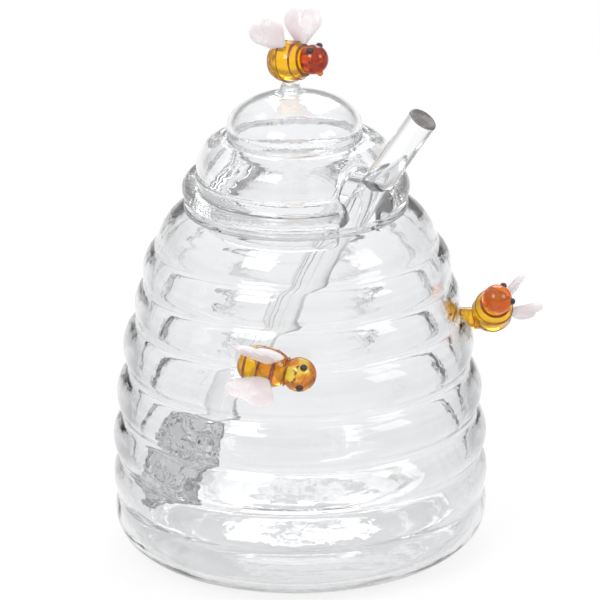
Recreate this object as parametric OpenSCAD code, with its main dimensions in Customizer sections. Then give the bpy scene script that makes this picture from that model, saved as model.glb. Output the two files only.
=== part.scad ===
// Beehive honey pot in clear glass, with a loose ribbed lid, a glass dipper and three glass bees.
// The pot stands on Z = 0 with its axis on Z. The front of the pot is at -Y.

/* [Pot] */
// Radius in the widest groove between two rolls
belly_r = 49.7; // [47:0.1:53]
// Height of each roll, from the lowest to the shoulder
roll_h = [11.2, 10.8, 11.5, 13.3, 13.6, 10.6, 10.2, 11]; // [9:0.1:15]
// How far each roll swells beyond its two grooves
roll_bulge = [1.75, 1.7, 2.7, 3.2, 3.3, 1.9, 2, 1.85]; // [1:0.05:3.5]
// Steady lean of the wall towards the axis, from the belly to the rim
taper = 12.6; // [10:0.1:15]
// Radius of the flat foot
base_r = 37.8; // [34:0.1:42]
// Height of the lowest groove, where the foot's round corner ends
base_h = 4.2; // [3.4:0.1:5]
// How far the lowest groove is drawn in from the widest one
base_tuck = 1.5; // [0.8:0.1:2.5]
// Swell of the foot's round corner
base_bulge = 1.25; // [0.8:0.05:1.8]
// Wall thickness, measured level
wall = 2; // [1.5:0.1:2.4]
// Thickness of the floor
floor_t = 3; // [2.4:0.1:4]
// Radius of the flat floor inside
floor_r = 43; // [40:0.1:44]

/* [Rim] */
// Radius of the centre line of the fire-polished rim
rim_r = 29; // [27.5:0.1:30.5]
// Radius of the round rim itself
bead_r = 1.2; // [1:0.05:1.5]

/* [Lid] */
// Gap between pieces that rest on each other
seat_gap = 0.3; // [0.2:0.05:0.5]
// Wall thickness of the lid
lid_wall = 1.8; // [1.4:0.1:2.2]
// Loose fit of the lid's inner ring in the mouth, on the radius
ring_fit = 1.4; // [0.6:0.1:2]
// Depth of the inner ring below the seat
ring_h = 7.4; // [5:0.1:9]
// How far inside the rim's centre line the lid's seat ends
seat_in = 0.1; // [-0.5:0.1:0.8]
// Groove over the lid's lowest roll, as its step in from the rim's centre line and its height
lid_groove_1 = [2.6, 6.95]; // [1.5:0.05:8]
// Groove under the dome, in the same way
lid_groove_2 = [11.5, 17.15]; // [10:0.05:18.5]
// Swell of the lid's lowest roll and of the roll above it
lid_bulge = [3.1, 3.8]; // [2.4:0.1:4.2]
// Place where the dome starts, in the same way
dome_foot = [10.6, 20]; // [9:0.1:22]
// Rise of the dome over its foot
dome_h = 9.7; // [8:0.1:11.5]
// Width of the notch that lets the dipper out
notch_w = 13.8; // [13.4:0.1:16]
// Height of the notch's round top over the seat
notch_h = 12.9; // [12.6:0.1:14.5]
// Direction of the notch, seen from above
notch_turn = -48.5; // [-52:0.5:-47]

/* [Dipper] */
// Diameter of the rod
rod_d = 8; // [7:0.1:8.4]
// Length of the dipper from its tip to the cut end of the rod
dipper_len = 151; // [135:1:160]
// Direction from the axis to the point where the rod leans on the rim
lean_turn = -52; // [-55:0.5:-51]
// Direction from the axis to the dipper's tip
tip_turn = 168.5; // [165:0.5:178]
// Gap between the tip and the wall beside it
tip_side_gap = 0.9; // [0.7:0.1:4]
// Radius of the round tip
tip_r = 4.5; // [3.5:0.1:5]
// Length of the ringed head over its tip
head_l = 30; // [24:0.5:34]
// Diameter of the head's widest ring
head_d = 20; // [16:0.1:22]
// Number of rings on the head
head_rings = 6; // [4:1:8]
// Depth of the grooves between the rings
head_groove = 2.2; // [1:0.1:2.8]

/* [Bees] */
// Body length, body diameter and head diameter of the bee on the lid
lid_bee = [11.6, 11.2, 8]; // [7:0.1:15]
// The same sizes of the bee on the front
front_bee = [14.2, 10.8, 9.2]; // [7:0.1:15]
// The same sizes of the bee on the side
side_bee = [12.6, 11, 8.2]; // [7:0.1:15]
// Turn, pitch and roll of the bee on the lid
lid_bee_turn = [-32, 12, 0]; // [-90:1:90]
// Turn from the axis, pitch and roll of the bee on the front
front_bee_turn = [-100.5, -11, 80]; // [-110:1:100]
// Turn, pitch and roll of the bee on the side
side_bee_turn = [-80, 41, -70]; // [-110:1:60]
// Height of the front bee's middle and its distance from the pot's wall
front_bee_place = [68, 5.75]; // [4:0.05:75]
// Height of the side bee's middle and its distance from the pot's wall
side_bee_place = [64.6, 9.35]; // [4:0.05:75]
// Sink of the head into the front of the body
neck_sink = 2.2; // [1.4:0.1:3]
// Thickness of the dark collar between head and body
collar_t = 1.1; // [0.8:0.05:1.4]
// Middle of each dark stripe along the body, from the body's middle
stripe_at = [-4.7, -1, 3]; // [-5:0.1:4]
// Width of each stripe
stripe_w = [1.2, 1, 1.5]; // [0.6:0.1:1.8]
// How far a stripe stands out of the body
stripe_proud = 0.15; // [0.05:0.05:0.3]
// How deep a stripe is melted into the body
stripe_sink = 0.5; // [0.3:0.05:0.8]
// Diameter of an eye bead
eye_d = 1.9; // [1.4:0.1:2.4]
// Diameter of the mouth bead
mouth_d = 1.7; // [1.2:0.1:2.2]
// Length and width of a wing on the lid bee
lid_wing_size = [9.6, 12]; // [7:0.1:14]
// Length and width of a wing on the side bee
side_wing_size = [8.9, 10.6]; // [7:0.1:14]
// Length and width of a wing on the front bee
front_wing_size = [12, 14.2]; // [9:0.1:15]
// Thickness of a wing
wing_t = 2.1; // [1.4:0.1:2.6]
// Lean towards the tail of the left and right wing of the bee on the lid
lid_wing_sweep = [-4, 22]; // [-15:1:30]
// The same leans on the front bee
front_wing_sweep = [15, 18]; // [0:1:30]
// The same leans on the side bee
side_wing_sweep = [16, 16]; // [0:1:30]
// Lean of the wings away from each other, on the lid bee, front bee and side bee
wing_spread = [21, 26, 19]; // [10:1:30]
// Place along the body of the left and right wing, on the lid bee
lid_wing_x = [3.2, -0.3]; // [-3:0.1:4]
// The same places on the front bee
front_wing_x = [1, 1.2]; // [-3:0.1:4]
// The same places on the side bee
side_wing_x = [0.5, 0.5]; // [-3:0.1:4]
// Height of the clear stem between the lid and its bee
stem_h = 3; // [2:0.1:5]
// Distance of the stem from the lid's axis
stem_offset = -1; // [-2:0.1:2]
// Radius of the stem at its top and at its foot
stem_r = [2.4, 3.6]; // [2:0.1:4.2]
// How far the stem's side is drawn in
stem_waist = 0.7; // [0.2:0.1:0.9]
// Radius of the melted foot that joins a bee to the pot
foot_r = 3; // [2.4:0.1:3.6]
// Drop of the side bee's foot below its middle
foot_drop = 2; // [0:0.1:3]

/* [Hidden] */
$fn = 96;

// Facets of the pot where a bee's foot is melted onto it
foot_facets = 240;
// Steps in one roll, in the rim and along a bee's body
arc_steps = 8;
bead_steps = 14;
body_steps = 24;
// Share of a roll's swell that is left on the inside of the wall
inner_share = 0.85;
// Power of the steady lean and of the sudden turn in at the shoulder
lean_power = 1.35;
shoulder_power = 12;
// Swell of the round corner where the floor meets the wall
floor_bulge = 3.4;
// Angles on the rim at which the outer and the inner wall meet it
rim_out = -30;
rim_in = 200;
// Round-off of the rod's cut end
rod_chamfer = 0.6;
// Fullness of a bee's body, where 2 is a plain ellipse
body_power = 2.5;
// Place of a wing's root beside and above the middle of the body, as shares of its diameter
wing_side = 0.2;
wing_up = 0.36;
// Radius of a wing's root, and radius of its lobes as a share of its width
root_r = 1.3;
lobe_share = 0.29;
// Distance from the lid's axis at which the notch's cut starts
notch_from = 12;

clear_glass = [0.86, 0.9, 0.92, 0.45];
amber = [0.98, 0.68, 0.05];
red_amber = [0.85, 0.25, 0.05];
brown = [0.25, 0.06, 0.02];
black = [0.03, 0.03, 0.03];
milk = [0.95, 0.9, 0.91];

// Heights of the grooves and the rim
function total(list, n) = n == 0 ? 0 : list[n - 1] + total(list, n - 1);
rolls = len(roll_h);
function groove_z(i) = base_h + total(roll_h, i);
rim_z = groove_z(rolls);
belly_z = groove_z(1);
shoulder = belly_r - taper - rim_r;
function rise(i) = (groove_z(i) - belly_z) / (rim_z - belly_z);
function groove_r(i) = i == 0 ? belly_r - base_tuck
    : belly_r - taper * pow(rise(i), lean_power) - shoulder * pow(rise(i), shoulder_power);
rim_c = [rim_r, rim_z];
function on_bead(angle) = rim_c + bead_r * [cos(angle), sin(angle)];

// Points of a round stretch from a to b that swells by s to the right of the way
function arc(a, b, s, steps = arc_steps) =
    let (
        along = (b - a) / norm(b - a),
        out = [along[1], -along[0]],
        half = 2 * atan(2 * s / norm(b - a)),
        r = norm(b - a) / 2 / sin(half),
        c = (a + b) / 2 + out * (s - r)
    )
    [for (k = [0:steps]) c + r * (out * cos(half * (2 * k / steps - 1)) + along * sin(half * (2 * k / steps - 1)))];
function back(list) = [for (k = [len(list) - 1:-1:0]) list[k]];
function flat(lists) = [for (list = lists) for (p = list) p];
// A list of points without the first one
function rest(list) = [for (k = [1:len(list) - 1]) list[k]];

// Outline of the pot's outside and of its inside, both from the bottom up
outer_groove = [for (i = [0:rolls - 1]) [groove_r(i), groove_z(i)], on_bead(rim_out)];
inner_groove = [for (i = [0:rolls - 1]) [groove_r(i) - wall, groove_z(i)], on_bead(rim_in)];
pot_outside = flat([[[0, 0]], arc([base_r, 0], outer_groove[0], base_bulge),
    for (i = [0:rolls - 1]) rest(arc(outer_groove[i], outer_groove[i + 1], roll_bulge[i]))]);
pot_inside = flat([[[0, floor_t]], arc([floor_r, floor_t], inner_groove[1], floor_bulge),
    for (i = [1:rolls - 1])
        rest(arc(inner_groove[i], inner_groove[i + 1], roll_bulge[i] * inner_share))]);
pot_bead = [for (k = [1:bead_steps - 1]) on_bead(rim_out + (rim_in - rim_out) * k / bead_steps)];

// Outer radius of the pot at a height
wall_table = [for (k = [1:len(pot_outside) - 1]) [pot_outside[k][1], pot_outside[k][0]]];
function wall_r(z) = lookup(z, wall_table);

// Places on the lid
lid_z = rim_z + bead_r + seat_gap;
ring_r = rim_r - bead_r - ring_fit;
seat_r = rim_r - seat_in;
groove_1 = [rim_r - lid_groove_1[0], lid_z + lid_groove_1[1]];
groove_2 = [rim_r - lid_groove_2[0], lid_z + lid_groove_2[1]];
dome_r = rim_r - dome_foot[0];
dome_z = lid_z + dome_foot[1];
dome_top = dome_z + dome_h;
function dome(r, h) = [for (k = [0:2 * arc_steps])
    [r * cos(90 * k / (2 * arc_steps)), dome_z + h * sin(90 * k / (2 * arc_steps))]];
lid_outside = flat([arc([seat_r, lid_z], groove_1, lid_bulge[0]),
    rest(arc(groove_1, groove_2, lid_bulge[1])), dome(dome_r, dome_h)]);
lid_inside = flat([[[ring_r - lid_wall, lid_z - ring_h]],
    arc([ring_r - lid_wall, lid_z + lid_wall], groove_1 - [lid_wall + 0.4, 0.6], 2.4),
    rest(arc(groove_1 - [lid_wall + 0.4, 0.6], groove_2 - [lid_wall, 0.7], lid_bulge[1] * inner_share)),
    dome(dome_r - lid_wall, dome_h - lid_wall)]);

// The dipper leans on the rim and stands on the floor on its round tip
rod_r = rod_d / 2;
tip_c = [for (v = [cos(tip_turn), sin(tip_turn)]) v * (belly_r - wall - tip_r - tip_side_gap)];
tip_z = floor_t + seat_gap + tip_r;
function lean_point(r) = [r * cos(lean_turn), r * sin(lean_turn), rim_z];
tip_point = [tip_c[0], tip_c[1], tip_z];
function level(v) = norm([v[0], v[1]]);
function turn(v) = atan2(v[1], v[0]);
// Radius at which the axis crosses the rim's height, for a rod with the direction of v
function pass_r(v) = rim_r - (bead_r + rod_r + seat_gap)
    / cos(atan(level(v) / v[2] * cos(turn(v) - lean_turn)));
first_guess = lean_point(rim_r - bead_r - rod_r) - tip_point;
rod_way = lean_point(pass_r(first_guess)) - tip_point;
dipper_lean = atan(level(rod_way) / rod_way[2]);
dipper_turn = turn(rod_way);
head_top = tip_r + head_l;

module dipper_place() {
    translate(tip_point) rotate([0, dipper_lean, dipper_turn]) children();
}

module spun(points) {
    rotate_extrude() polygon(points);
}

// Pot
module pot_solid() {
    spun(flat([pot_outside, pot_bead, [[0, on_bead(90)[1]]]]));
}

module pot() {
    color(clear_glass) spun(flat([pot_outside, pot_bead, back(pot_inside)]));
}

// Lid with its inner ring, and the notch in its front right edge
module notch() {
    r = notch_w / 2;
    top = lid_z + notch_h - r;
    bottom = lid_z - ring_h - 1;
    length = seat_r + 3 * lid_bulge[0] - notch_from;
    rotate([0, 0, notch_turn]) translate([notch_from, 0, 0]) {
        translate([0, -r, bottom]) cube([length, notch_w, top - bottom]);
        translate([0, 0, top]) rotate([0, 90, 0]) cylinder(r = r, h = length);
    }
}

module lid_solid() {
    spun(flat([[[0, lid_z]], lid_outside]));
}

module lid() {
    color(clear_glass) difference() {
        spun(flat([[[ring_r, lid_z - ring_h], [ring_r, lid_z + 0.8]], lid_outside, back(lid_inside)]));
        notch();
    }
}

// Dipper
module dipper_rod() {
    top = dipper_len - tip_r;
    color(clear_glass) dipper_place() difference() {
        union() {
            cylinder(r = rod_r, h = top - rod_chamfer);
            translate([0, 0, top - rod_chamfer])
                cylinder(r1 = rod_r, r2 = rod_r - rod_chamfer, h = rod_chamfer);
        }
        translate([0, 0, -1]) cylinder(r = rod_d, h = head_top - tip_r + 1);
    }
}

// Radius of the head's rings at a height over the middle of the tip
function head_r(z) = tip_r + (head_d / 2 - tip_r) * sin(180 * (z + tip_r) / (head_top + tip_r));
ring_l = (head_top - tip_r) / head_rings;

module dipper_head() {
    tip = [for (k = [0:arc_steps]) tip_r * [sin(90 * k / arc_steps), -cos(90 * k / arc_steps)]];
    rings = [for (i = [0:head_rings - 1]) for (k = [0:arc_steps])
        [head_r((i + k / arc_steps) * ring_l) - head_groove * (1 - sin(180 * k / arc_steps)),
            (i + k / arc_steps) * ring_l]];
    color(clear_glass) dipper_place() spun(flat([tip, rest(rings), [[0, head_top - tip_r]]]));
}

// Bees. A bee looks along +X with its back to +Z, and b holds its body length, body and head diameters
function half_body(b) = b[0] / 2;
function head_x(b) = (b[0] + b[2]) / 2 - neck_sink;
function body_r(b, x) = b[1] / 2 * pow(1 - pow(min(1, abs(x) / half_body(b)), body_power), 1 / body_power);
// Outline of the body, grown by g, as radius and place along the body
function body_line(b, g) = [for (k = [0:body_steps])
    let (x = -half_body(b) * cos(180 * k / body_steps))
    [max(0, body_r(b, x) + g * sin(180 * k / body_steps)), x - g * cos(180 * k / body_steps)]];

module body_shape(b, g = 0) {
    polygon(body_line(b, g));
}

module stripe_bands(b) {
    for (i = [0:len(stripe_at) - 1])
        translate([0, stripe_at[i] - stripe_w[i] / 2]) square([b[1], stripe_w[i]]);
}

module along_bee() {
    rotate([0, 90, 0]) rotate_extrude() children();
}

module head_shape(b) {
    polygon([for (k = [0:body_steps])
        [b[2] / 2 * sin(180 * k / body_steps), head_x(b) - b[2] / 2 * cos(180 * k / body_steps)]]);
}

module collar(b) {
    neck = half_body(b) - neck_sink / 2;
    translate([body_r(b, neck) + 0.1, neck]) circle(d = collar_t, $fn = 24);
}

// Body with its stripes and the head, all in one, for cutting what is melted onto it
module bee_core(b) {
    along_bee() {
        body_shape(b);
        intersection() {
            body_shape(b, stripe_proud);
            stripe_bands(b);
        }
        head_shape(b);
        collar(b);
    }
}

module bee_body(b) {
    color(amber) along_bee() difference() {
        body_shape(b);
        difference() {
            stripe_bands(b);
            body_shape(b, -stripe_sink);
        }
    }
}

module bee_stripes(b) {
    color(brown) {
        along_bee() difference() {
            intersection() {
                body_shape(b, stripe_proud);
                stripe_bands(b);
            }
            body_shape(b, -stripe_sink);
        }
        along_bee() difference() {
            collar(b);
            body_shape(b);
            head_shape(b);
        }
    }
}

module bee_head(b) {
    color(red_amber) along_bee() difference() {
        head_shape(b);
        body_shape(b);
    }
}

// Beads on the head, in directions given as forward, left and up
function on_head(b, way) = [head_x(b), 0, 0] + b[2] / 2 * way / norm(way);

module bee_eyes(b) {
    color(black) difference() {
        for (side = [-1, 1]) translate(on_head(b, [0.25, 0.6 * side, 0.75])) sphere(d = eye_d, $fn = 32);
        along_bee() head_shape(b);
    }
}

module bee_mouth(b) {
    color(red_amber) difference() {
        translate(on_head(b, [0.3, 0, -0.95])) sphere(d = mouth_d, $fn = 32);
        along_bee() {
            head_shape(b);
            body_shape(b);
        }
    }
}

// Flat outline of a wing with its root at the origin and two round lobes, size is length and width
module wing_shape(size) {
    lobe_r = size[1] * lobe_share;
    lobe = [size[1] / 2 - lobe_r, size[0] - lobe_r];
    edge = atan2(lobe[1], lobe[0]) - acos((root_r - lobe_r) / norm(lobe));
    side = [cos(edge), sin(edge)];
    for (m = [0, 1]) mirror([m, 0]) {
        translate(lobe) circle(r = lobe_r, $fn = 48);
        polygon([[0, -root_r], root_r * side, lobe + lobe_r * side, lobe, [0, lobe[1]]]);
    }
    circle(r = root_r, $fn = 24);
}

module bee_wing(b, size, x, sweep, spread, side) {
    color(milk) difference() {
        translate([x, side * b[1] * wing_side, b[1] * wing_up]) rotate([-side * spread, 0, 0])
            rotate([0, -sweep, 0]) rotate([90, 0, 0])
                linear_extrude(wing_t, center = true) wing_shape(size);
        bee_core(b);
    }
}

// Places of the three bees
function off_wall(place) = wall_r(place[0]) + place[1];
lid_bee_z = dome_top + stem_h + lid_bee[1] / 2;

module turned(way) {
    rotate([0, -way[1], way[0]]) rotate([way[2], 0, 0]) children();
}

module on_lid() {
    translate([stem_offset, 0, lid_bee_z]) turned(lid_bee_turn) children();
}

module on_front() {
    rotate([0, 0, front_bee_turn[0]]) translate([off_wall(front_bee_place), 0, front_bee_place[0]])
        turned([90, front_bee_turn[1], front_bee_turn[2]]) children();
}

module on_side() {
    translate([off_wall(side_bee_place), 0, side_bee_place[0]]) turned(side_bee_turn) children();
}

// Clear stem under the lid's bee, and the melted feet that hold the other two to the pot
module lid_stem() {
    foot_z = dome_top - 1;
    color(clear_glass) difference() {
        translate([stem_offset, 0, 0]) spun(flat([[[0, foot_z]],
            back(arc([stem_r[0], lid_bee_z - lid_bee[1] / 4], [stem_r[1], foot_z], stem_waist)),
            [[0, lid_bee_z - lid_bee[1] / 4]]]));
        lid_solid();
        on_lid() bee_core(lid_bee);
    }
}

module foot(place, drop = 0) {
    translate([0, 0, place[0] - drop]) rotate([0, 90, 0]) cylinder(r = foot_r, h = off_wall(place));
}

module front_bee_foot() {
    color(amber) difference() {
        rotate([0, 0, front_bee_turn[0]]) foot(front_bee_place);
        pot_solid($fn = foot_facets);
        on_front() bee_core(front_bee, $fn = foot_facets);
    }
}

module side_bee_foot() {
    color(amber) difference() {
        foot(side_bee_place, foot_drop);
        pot_solid($fn = foot_facets);
        on_side() bee_core(side_bee, $fn = foot_facets);
    }
}

pot();
lid();
lid_stem();
dipper_rod();
dipper_head();
on_lid() bee_body(lid_bee);  // lid_bee_body
on_lid() bee_head(lid_bee);  // lid_bee_head
on_lid() bee_stripes(lid_bee);  // lid_bee_stripes
on_lid() bee_eyes(lid_bee);  // lid_bee_eyes
on_lid() bee_mouth(lid_bee);  // lid_bee_mouth
on_lid() bee_wing(lid_bee, lid_wing_size, lid_wing_x[0], lid_wing_sweep[0], wing_spread[0], 1);  // lid_bee_left_wing
on_lid() bee_wing(lid_bee, lid_wing_size, lid_wing_x[1], lid_wing_sweep[1], wing_spread[0], -1);  // lid_bee_right_wing
on_front() bee_body(front_bee);  // front_bee_body
on_front() bee_head(front_bee);  // front_bee_head
on_front() bee_stripes(front_bee);  // front_bee_stripes
on_front() bee_eyes(front_bee);  // front_bee_eyes
on_front() bee_mouth(front_bee);  // front_bee_mouth
on_front() bee_wing(front_bee, front_wing_size, front_wing_x[0], front_wing_sweep[0], wing_spread[1], 1);  // front_bee_left_wing
on_front() bee_wing(front_bee, front_wing_size, front_wing_x[1], front_wing_sweep[1], wing_spread[1], -1);  // front_bee_right_wing
front_bee_foot();
on_side() bee_body(side_bee);  // side_bee_body
on_side() bee_head(side_bee);  // side_bee_head
on_side() bee_stripes(side_bee);  // side_bee_stripes
on_side() bee_eyes(side_bee);  // side_bee_eyes
on_side() bee_mouth(side_bee);  // side_bee_mouth
on_side() bee_wing(side_bee, side_wing_size, side_wing_x[0], side_wing_sweep[0], wing_spread[2], 1);  // side_bee_left_wing
on_side() bee_wing(side_bee, side_wing_size, side_wing_x[1], side_wing_sweep[1], wing_spread[2], -1);  // side_bee_right_wing
side_bee_foot();
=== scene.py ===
"""Glass beehive honey pot with a ribbed lid, a dipper and three lampworked bees."""

from __future__ import annotations

import logging
import math
from collections.abc import Sequence
from dataclasses import dataclass
from enum import Enum
from itertools import pairwise

import bpy
import numpy as np
from mathutils import Matrix, Vector

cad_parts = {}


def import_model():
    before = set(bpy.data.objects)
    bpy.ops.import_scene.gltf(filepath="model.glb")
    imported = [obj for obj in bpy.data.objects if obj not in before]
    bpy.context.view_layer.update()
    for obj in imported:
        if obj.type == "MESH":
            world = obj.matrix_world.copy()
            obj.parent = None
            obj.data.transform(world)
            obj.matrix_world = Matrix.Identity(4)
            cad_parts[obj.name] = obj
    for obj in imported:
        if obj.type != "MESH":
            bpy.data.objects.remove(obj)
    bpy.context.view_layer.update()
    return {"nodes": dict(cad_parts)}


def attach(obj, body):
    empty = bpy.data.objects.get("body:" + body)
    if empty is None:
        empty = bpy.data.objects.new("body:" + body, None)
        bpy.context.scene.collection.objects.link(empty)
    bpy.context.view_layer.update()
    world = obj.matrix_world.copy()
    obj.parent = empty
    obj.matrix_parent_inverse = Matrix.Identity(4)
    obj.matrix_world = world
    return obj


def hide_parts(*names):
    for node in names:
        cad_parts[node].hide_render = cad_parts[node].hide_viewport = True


LOG = logging.getLogger("honey_pot")
MM = 0.001
Point = tuple[float, float]
Points = list[Point]
Triple = tuple[float, float, float]
Shape = tuple[np.ndarray, list[tuple[int, ...]]]


class Sock:
    """A shader socket that maths can be written with."""

    def __init__(self, tree: Shader, socket: bpy.types.NodeSocket | None) -> None:
        """Wraps an output socket of a tree."""
        self.tree = tree
        self.socket = socket

    def _math(self, operation: str, *terms: Sock | float) -> Sock:
        """Adds a Math node.

        Args:
            operation: Name of the Math node's operation.
            terms: Inputs in their order.

        Returns:
            The node's value.
        """
        return self.tree.node("ShaderNodeMath", {"operation": operation}, dict(enumerate(terms)))

    def __add__(self, other: Sock | float) -> Sock:
        """Sum."""
        return self._math("ADD", self, other)

    __radd__ = __add__

    def __mul__(self, other: Sock | float) -> Sock:
        """Product."""
        return self._math("MULTIPLY", self, other)

    __rmul__ = __mul__

    def __sub__(self, other: Sock | float) -> Sock:
        """Difference."""
        return self._math("SUBTRACT", self, other)

    def __rsub__(self, other: Sock | float) -> Sock:
        """Difference, reflected."""
        return self._math("SUBTRACT", other, self)

    def __truediv__(self, other: Sock | float) -> Sock:
        """Quotient."""
        return self._math("DIVIDE", self, other)

    def __rtruediv__(self, other: Sock | float) -> Sock:
        """Quotient, reflected."""
        return self._math("DIVIDE", other, self)

    def above(self, other: Sock | float) -> Sock:
        """The larger of the two values."""
        return self._math("MAXIMUM", self, other)

    def step(self, low: float, high: float) -> Sock:
        """A smooth step.

        Args:
            low: Value at which the result is 0.
            high: Value at which the result is 1.

        Returns:
            The stepped value.
        """
        settings = {"interpolation_type": "SMOOTHSTEP"}
        values = {"Value": self, "From Min": low, "From Max": high}
        return self.tree.node("ShaderNodeMapRange", settings, values)


class Shader:
    """Builds the node tree of a material or of the world."""

    def __init__(self, tree: bpy.types.NodeTree) -> None:
        """Empties the tree and keeps it."""
        self.tree = tree
        tree.nodes.clear()

    def node(
        self,
        kind: str,
        settings: dict | None = None,
        values: dict | None = None,
        out: int | str = 0,
    ) -> Sock:
        """Adds a node.

        Args:
            kind: Type of the node.
            settings: Properties that are set first. The stops of a ramp go under "stops".
            values: Numbers, colours or sockets of the inputs, by name or index.
            out: Output that is returned.

        Returns:
            The chosen output.
        """
        made = self.tree.nodes.new(kind)
        for name, value in (settings or {}).items():
            if name == "stops":
                ramp = made.color_ramp
                while len(ramp.elements) < len(value):
                    ramp.elements.new(0.5)
                for element, (place, shade) in zip(ramp.elements, value, strict=True):
                    element.position = place
                    element.color = (*shade, 1.0) if isinstance(shade, tuple) else (shade, shade, shade, 1.0)
            else:
                setattr(made, name, value)
        for name, value in (values or {}).items():
            self.feed(made.inputs[name], value)
        return Sock(self, made.outputs[out] if len(made.outputs) else None)

    def feed(self, socket: bpy.types.NodeSocket, value: object) -> None:
        """Links a socket or sets its value.

        Args:
            socket: Input that gets the value.
            value: A Sock, a number or a colour.
        """
        if isinstance(value, Sock):
            self.tree.links.new(value.socket, socket)
        elif isinstance(value, tuple) and len(value) == 3 and socket.type == "RGBA":
            socket.default_value = (*value, 1.0)
        else:
            socket.default_value = value

    def mix(self, share: Sock | float, first: Sock | Triple, second: Sock | Triple) -> Sock:
        """Mixes two colours.

        Args:
            share: Share of the second colour.
            first: Colour at share 0.
            second: Colour at share 1.

        Returns:
            The mixed colour.
        """
        return self.node("ShaderNodeMix", {"data_type": "RGBA"}, {0: share, 6: first, 7: second}, 2)

    def noise(self, scale: float, detail: float = 2.0, stretch: Triple = (1.0, 1.0, 1.0)) -> Sock:
        """Noise over the object's own coordinates.

        Args:
            scale: Features in a metre.
            detail: Octaves.
            stretch: Scale along each axis.

        Returns:
            Values about 0.5.
        """
        place = self.node("ShaderNodeTexCoord", out="Object")
        moved = self.node("ShaderNodeMapping", values={"Vector": place, "Scale": stretch})
        return self.node("ShaderNodeTexNoise", values={"Vector": moved, "Scale": scale, "Detail": detail})

    def bump(self, height: Sock, distance: float) -> Sock:
        """Turns heights into a normal.

        Args:
            height: Height from 0 to 1.
            distance: Size of a full height, in metres.

        Returns:
            The normal.
        """
        return self.node("ShaderNodeBump", values={"Height": height, "Distance": distance})

    def surface(self, values: dict, depth: float = 0.0) -> None:
        """Ends the tree in a Principled shader.

        Args:
            values: Inputs of the shader.
            depth: How strongly the body of the glass greys what shines through it, per metre.
        """
        ends = {"Surface": self.node("ShaderNodeBsdfPrincipled", values=values)}
        if depth:
            body = {"Color": (0.0, 0.0, 0.0), "Density": depth}
            ends["Volume"] = self.node("ShaderNodeVolumeAbsorption", values=body)
        self.node("ShaderNodeOutputMaterial", values=ends)


@dataclass(frozen=True)
class Finish:
    """A finish of the object, with the record's slot that it belongs to."""

    name: str
    slot: str

    def paint(self, shader: Shader) -> None:
        """Builds the nodes of the finish."""
        raise NotImplementedError

    def material(self) -> bpy.types.Material:
        """The finish as a material, made once.

        Returns:
            The material.
        """
        found = bpy.data.materials.get(self.name)
        if found is None:
            found = bpy.data.materials.new(self.name)
            found.use_nodes = True
            self.paint(Shader(found.node_tree))
        return found


@dataclass(frozen=True)
class ClearGlass(Finish):
    """Colourless blown glass with faint waves and flow marks."""

    wave: float
    depth: float
    wave_scale: float = 45.0
    layer: float = 1.7
    tint: Triple = (0.968, 0.972, 0.978)

    def paint(self, shader: Shader) -> None:
        """Builds the nodes of the finish.

        Args:
            shader: Empty tree of the material.
        """
        wave = shader.noise(self.wave_scale, 1.5, (1.0, 1.0, self.layer))
        fine = shader.noise(240.0, 2.0)
        height = wave * 0.85 + fine * 0.15
        film = shader.noise(90.0, 3.0).step(0.45, 0.8)
        shader.surface({
            "Base Color": shader.mix(film, self.tint, tuple(c - 0.012 for c in self.tint)),
            "Roughness": film * 0.012,
            "IOR": 1.474,
            "Transmission Weight": 1.0,
            "Normal": shader.bump(height, self.wave),
        }, self.depth)


@dataclass(frozen=True)
class TintedGlass(Finish):
    """See-through coloured glass with streaks and mottling of a deeper colour."""

    light: Triple = (1.0, 0.57, 0.006)
    deep: Triple = (1.0, 0.27, 0.003)
    dark: Triple = (0.5, 0.09, 0.01)
    streak_span: Point = (0.48, 0.8)
    spot_span: Point = (0.7, 0.76)
    clear: float = 0.85

    def paint(self, shader: Shader) -> None:
        """Builds the nodes of the finish.

        Args:
            shader: Empty tree of the material.
        """
        streak = shader.noise(150.0, 3.0, (1.0, 1.0, 1.6)).step(*self.streak_span)
        spot = shader.noise(420.0, 2.0).step(*self.spot_span)
        colour = shader.mix(streak, self.light, self.deep)
        shader.surface({
            "Base Color": shader.mix(spot, colour, self.dark),
            "Roughness": 0.02 + spot * 0.05,
            "IOR": 1.5,
            "Transmission Weight": self.clear,
            "Normal": shader.bump(shader.noise(260.0, 2.0), 0.00018),
        })


@dataclass(frozen=True)
class ThreadGlass(Finish):
    """Dark glass thread or bead, glossy and nearly opaque."""

    core: Triple
    edge: Triple
    clear: float = 0.0

    def paint(self, shader: Shader) -> None:
        """Builds the nodes of the finish.

        Args:
            shader: Empty tree of the material.
        """
        melt = shader.noise(500.0, 2.0).step(0.4, 0.7)
        shader.surface({
            "Base Color": shader.mix(melt, self.core, self.edge),
            "Roughness": 0.05 + melt * 0.06,
            "IOR": 1.5,
            "Transmission Weight": self.clear,
            "Coat Weight": 0.4,
            "Coat Roughness": 0.02,
            "Normal": shader.bump(melt, 0.00008),
        })


@dataclass(frozen=True)
class MilkGlass(Finish):
    """Milky white glass with a trace of pink."""

    body: Triple = (0.76, 0.69, 0.7)
    cloud: Triple = (0.86, 0.82, 0.825)

    def paint(self, shader: Shader) -> None:
        """Builds the nodes of the finish.

        Args:
            shader: Empty tree of the material.
        """
        cloud = shader.noise(170.0, 3.0).step(0.35, 0.7)
        shader.surface({
            "Base Color": shader.mix(cloud, self.body, self.cloud),
            "Roughness": 0.22 + cloud * 0.08,
            "IOR": 1.5,
            "Subsurface Weight": 0.6,
            "Subsurface Radius": (0.003, 0.0024, 0.0024),
            "Subsurface Scale": 1.0,
            "Transmission Weight": 0.18,
            "Normal": shader.bump(shader.noise(300.0, 2.0), 0.00012),
        })


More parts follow.
